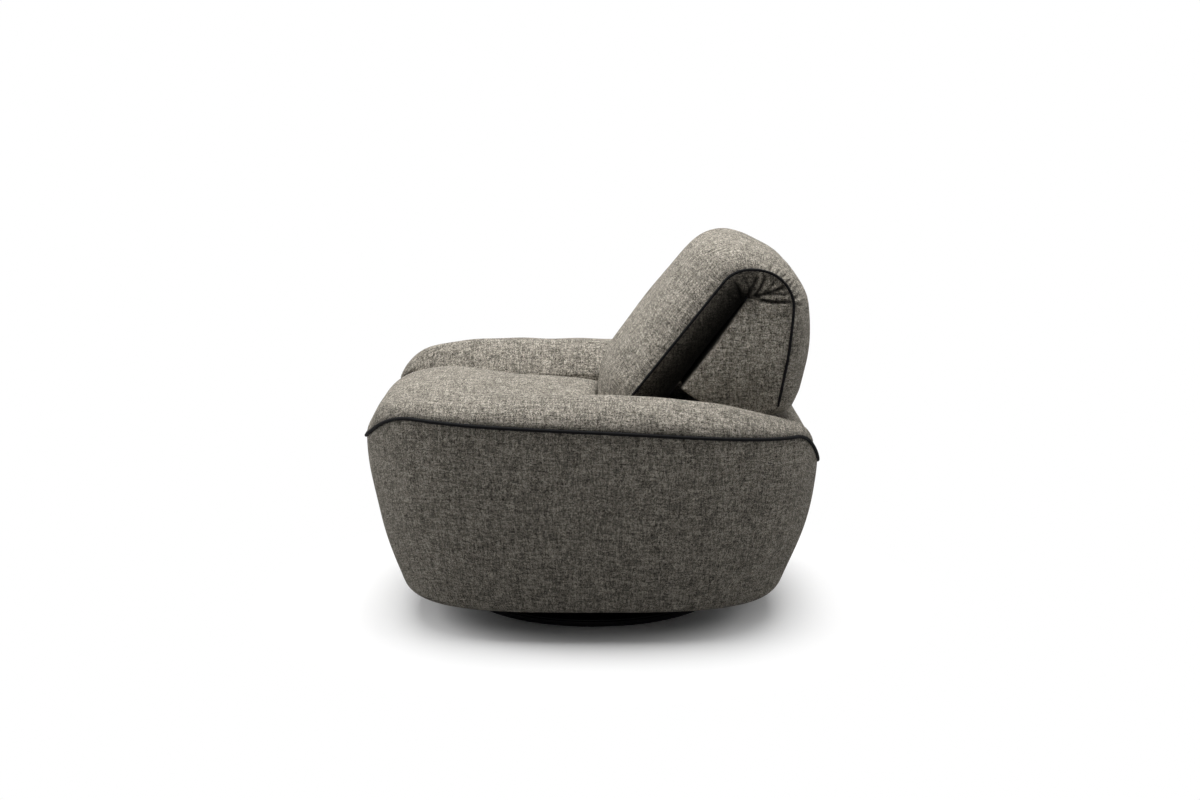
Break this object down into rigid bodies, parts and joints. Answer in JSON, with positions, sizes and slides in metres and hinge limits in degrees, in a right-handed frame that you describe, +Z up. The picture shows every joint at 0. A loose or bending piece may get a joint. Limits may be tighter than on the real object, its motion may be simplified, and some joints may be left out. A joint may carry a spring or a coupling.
{
  "type": "swivel armchair",
  "caption": "Low padded tub armchair turning on a flat round base, with a seat between thick arms and a leaning back whose top folds over behind it as an adjustable headrest.",
  "frame": {"origin": "on the floor, where the turning axis of the base meets it", "axes": "+Z up along the turning axis, -Y where the seat faces, +X to the sitter's left"},
  "size_m": [0.9336, 0.9436, 0.7805],
  "materials": {
    "tweed": "woven grey-brown tweed over foam",
    "piping": "black woven piping",
    "felt": "needled dark grey felt",
    "black_lacquer": "satin black powder coat",
    "black_wood": "black stained board",
    "zinc": "zinc plated pressed steel",
    "spring_steel": "dark drawn spring wire",
    "plywood": "raw sanded plywood",
    "cambric": "thin black dust cloth"
  },
  "bodies": {
    "base": {"floor_felt": "felt", "base_disc": "black_lacquer", "base_riser": "black_wood", "swivel_lower_plate": "zinc", "swivel_kingpin": "zinc"},
    "bearing_cage": {"ball_cage": "zinc"},
    "tub": {"swivel_upper_plate": "zinc", "bottom_board": "plywood", "dust_cover": "cambric", "side_panel_left": "plywood", "arm_rib_front_left": "plywood", "arm_rib_rear_left": "plywood", "arm_board_left": "plywood", "side_panel_right": "plywood", "arm_rib_front_right": "plywood", "arm_rib_rear_right": "plywood", "arm_board_right": "plywood", "front_rail": "plywood", "seat_nose_board": "plywood", "seat_rear_rail": "plywood", "tub_rear_rail": "plywood", "rear_shelf": "plywood", "seat_spring_1": "spring_steel", "seat_spring_2": "spring_steel", "seat_spring_3": "spring_steel", "seat_spring_4": "spring_steel", "seat_spring_5": "spring_steel", "spring_clip_front": "spring_steel", "spring_clip_rear": "spring_steel", "seat_deck_felt": "felt", "seat_cushion": "tweed", "cover_panel_front": "tweed", "cover_panel_rear": "tweed", "cover_panel_left": "tweed", "cover_panel_right": "tweed", "arm_pad_left": "tweed", "arm_pad_right": "tweed", "rear_pad": "tweed", "seam_piping": "piping", "back_cushion": "tweed", "back_rear_pad": "tweed", "back_board": "plywood", "back_post_left": "plywood", "back_post_right": "plywood", "headrest_hinge_arm_left": "zinc", "headrest_hinge_arm_right": "zinc", "headrest_hinge_pin_left": "zinc", "headrest_hinge_pin_right": "zinc", "back_piping_left": "piping", "back_piping_right": "piping", "fold_cushion": "tweed", "fold_piping_left": "piping", "fold_piping_right": "piping"},
    "headrest": {"headrest_cushion": "tweed", "headrest_inner_pad": "tweed", "headrest_board": "plywood", "headrest_hinge_fork_left": "zinc", "headrest_hinge_fork_right": "zinc", "headrest_piping_left": "piping", "headrest_piping_right": "piping"}
  },
  "joints": [
    {"name": "swivel", "type": "hinge", "parent": "base", "child": "tub", "pos_m": [0, 0, 0], "axis": [0, 0, 1], "continuous": true},
    {"name": "bearing_roll", "type": "hinge", "parent": "base", "child": "bearing_cage", "pos_m": [0, 0, 0], "axis": [0, 0, 1], "continuous": true},
    {"name": "headrest_fold", "type": "hinge", "parent": "tub", "child": "headrest", "pos_m": [0, 0.314, 0.666], "axis": [1, 0, 0], "range_deg": [0, 150], "deforming": ["fold_cushion", "fold_piping_left", "fold_piping_right"]}
  ],
  "couplings": [
    {"joint": "bearing_roll", "follows": "swivel", "ratio": 0.5}
  ]
}
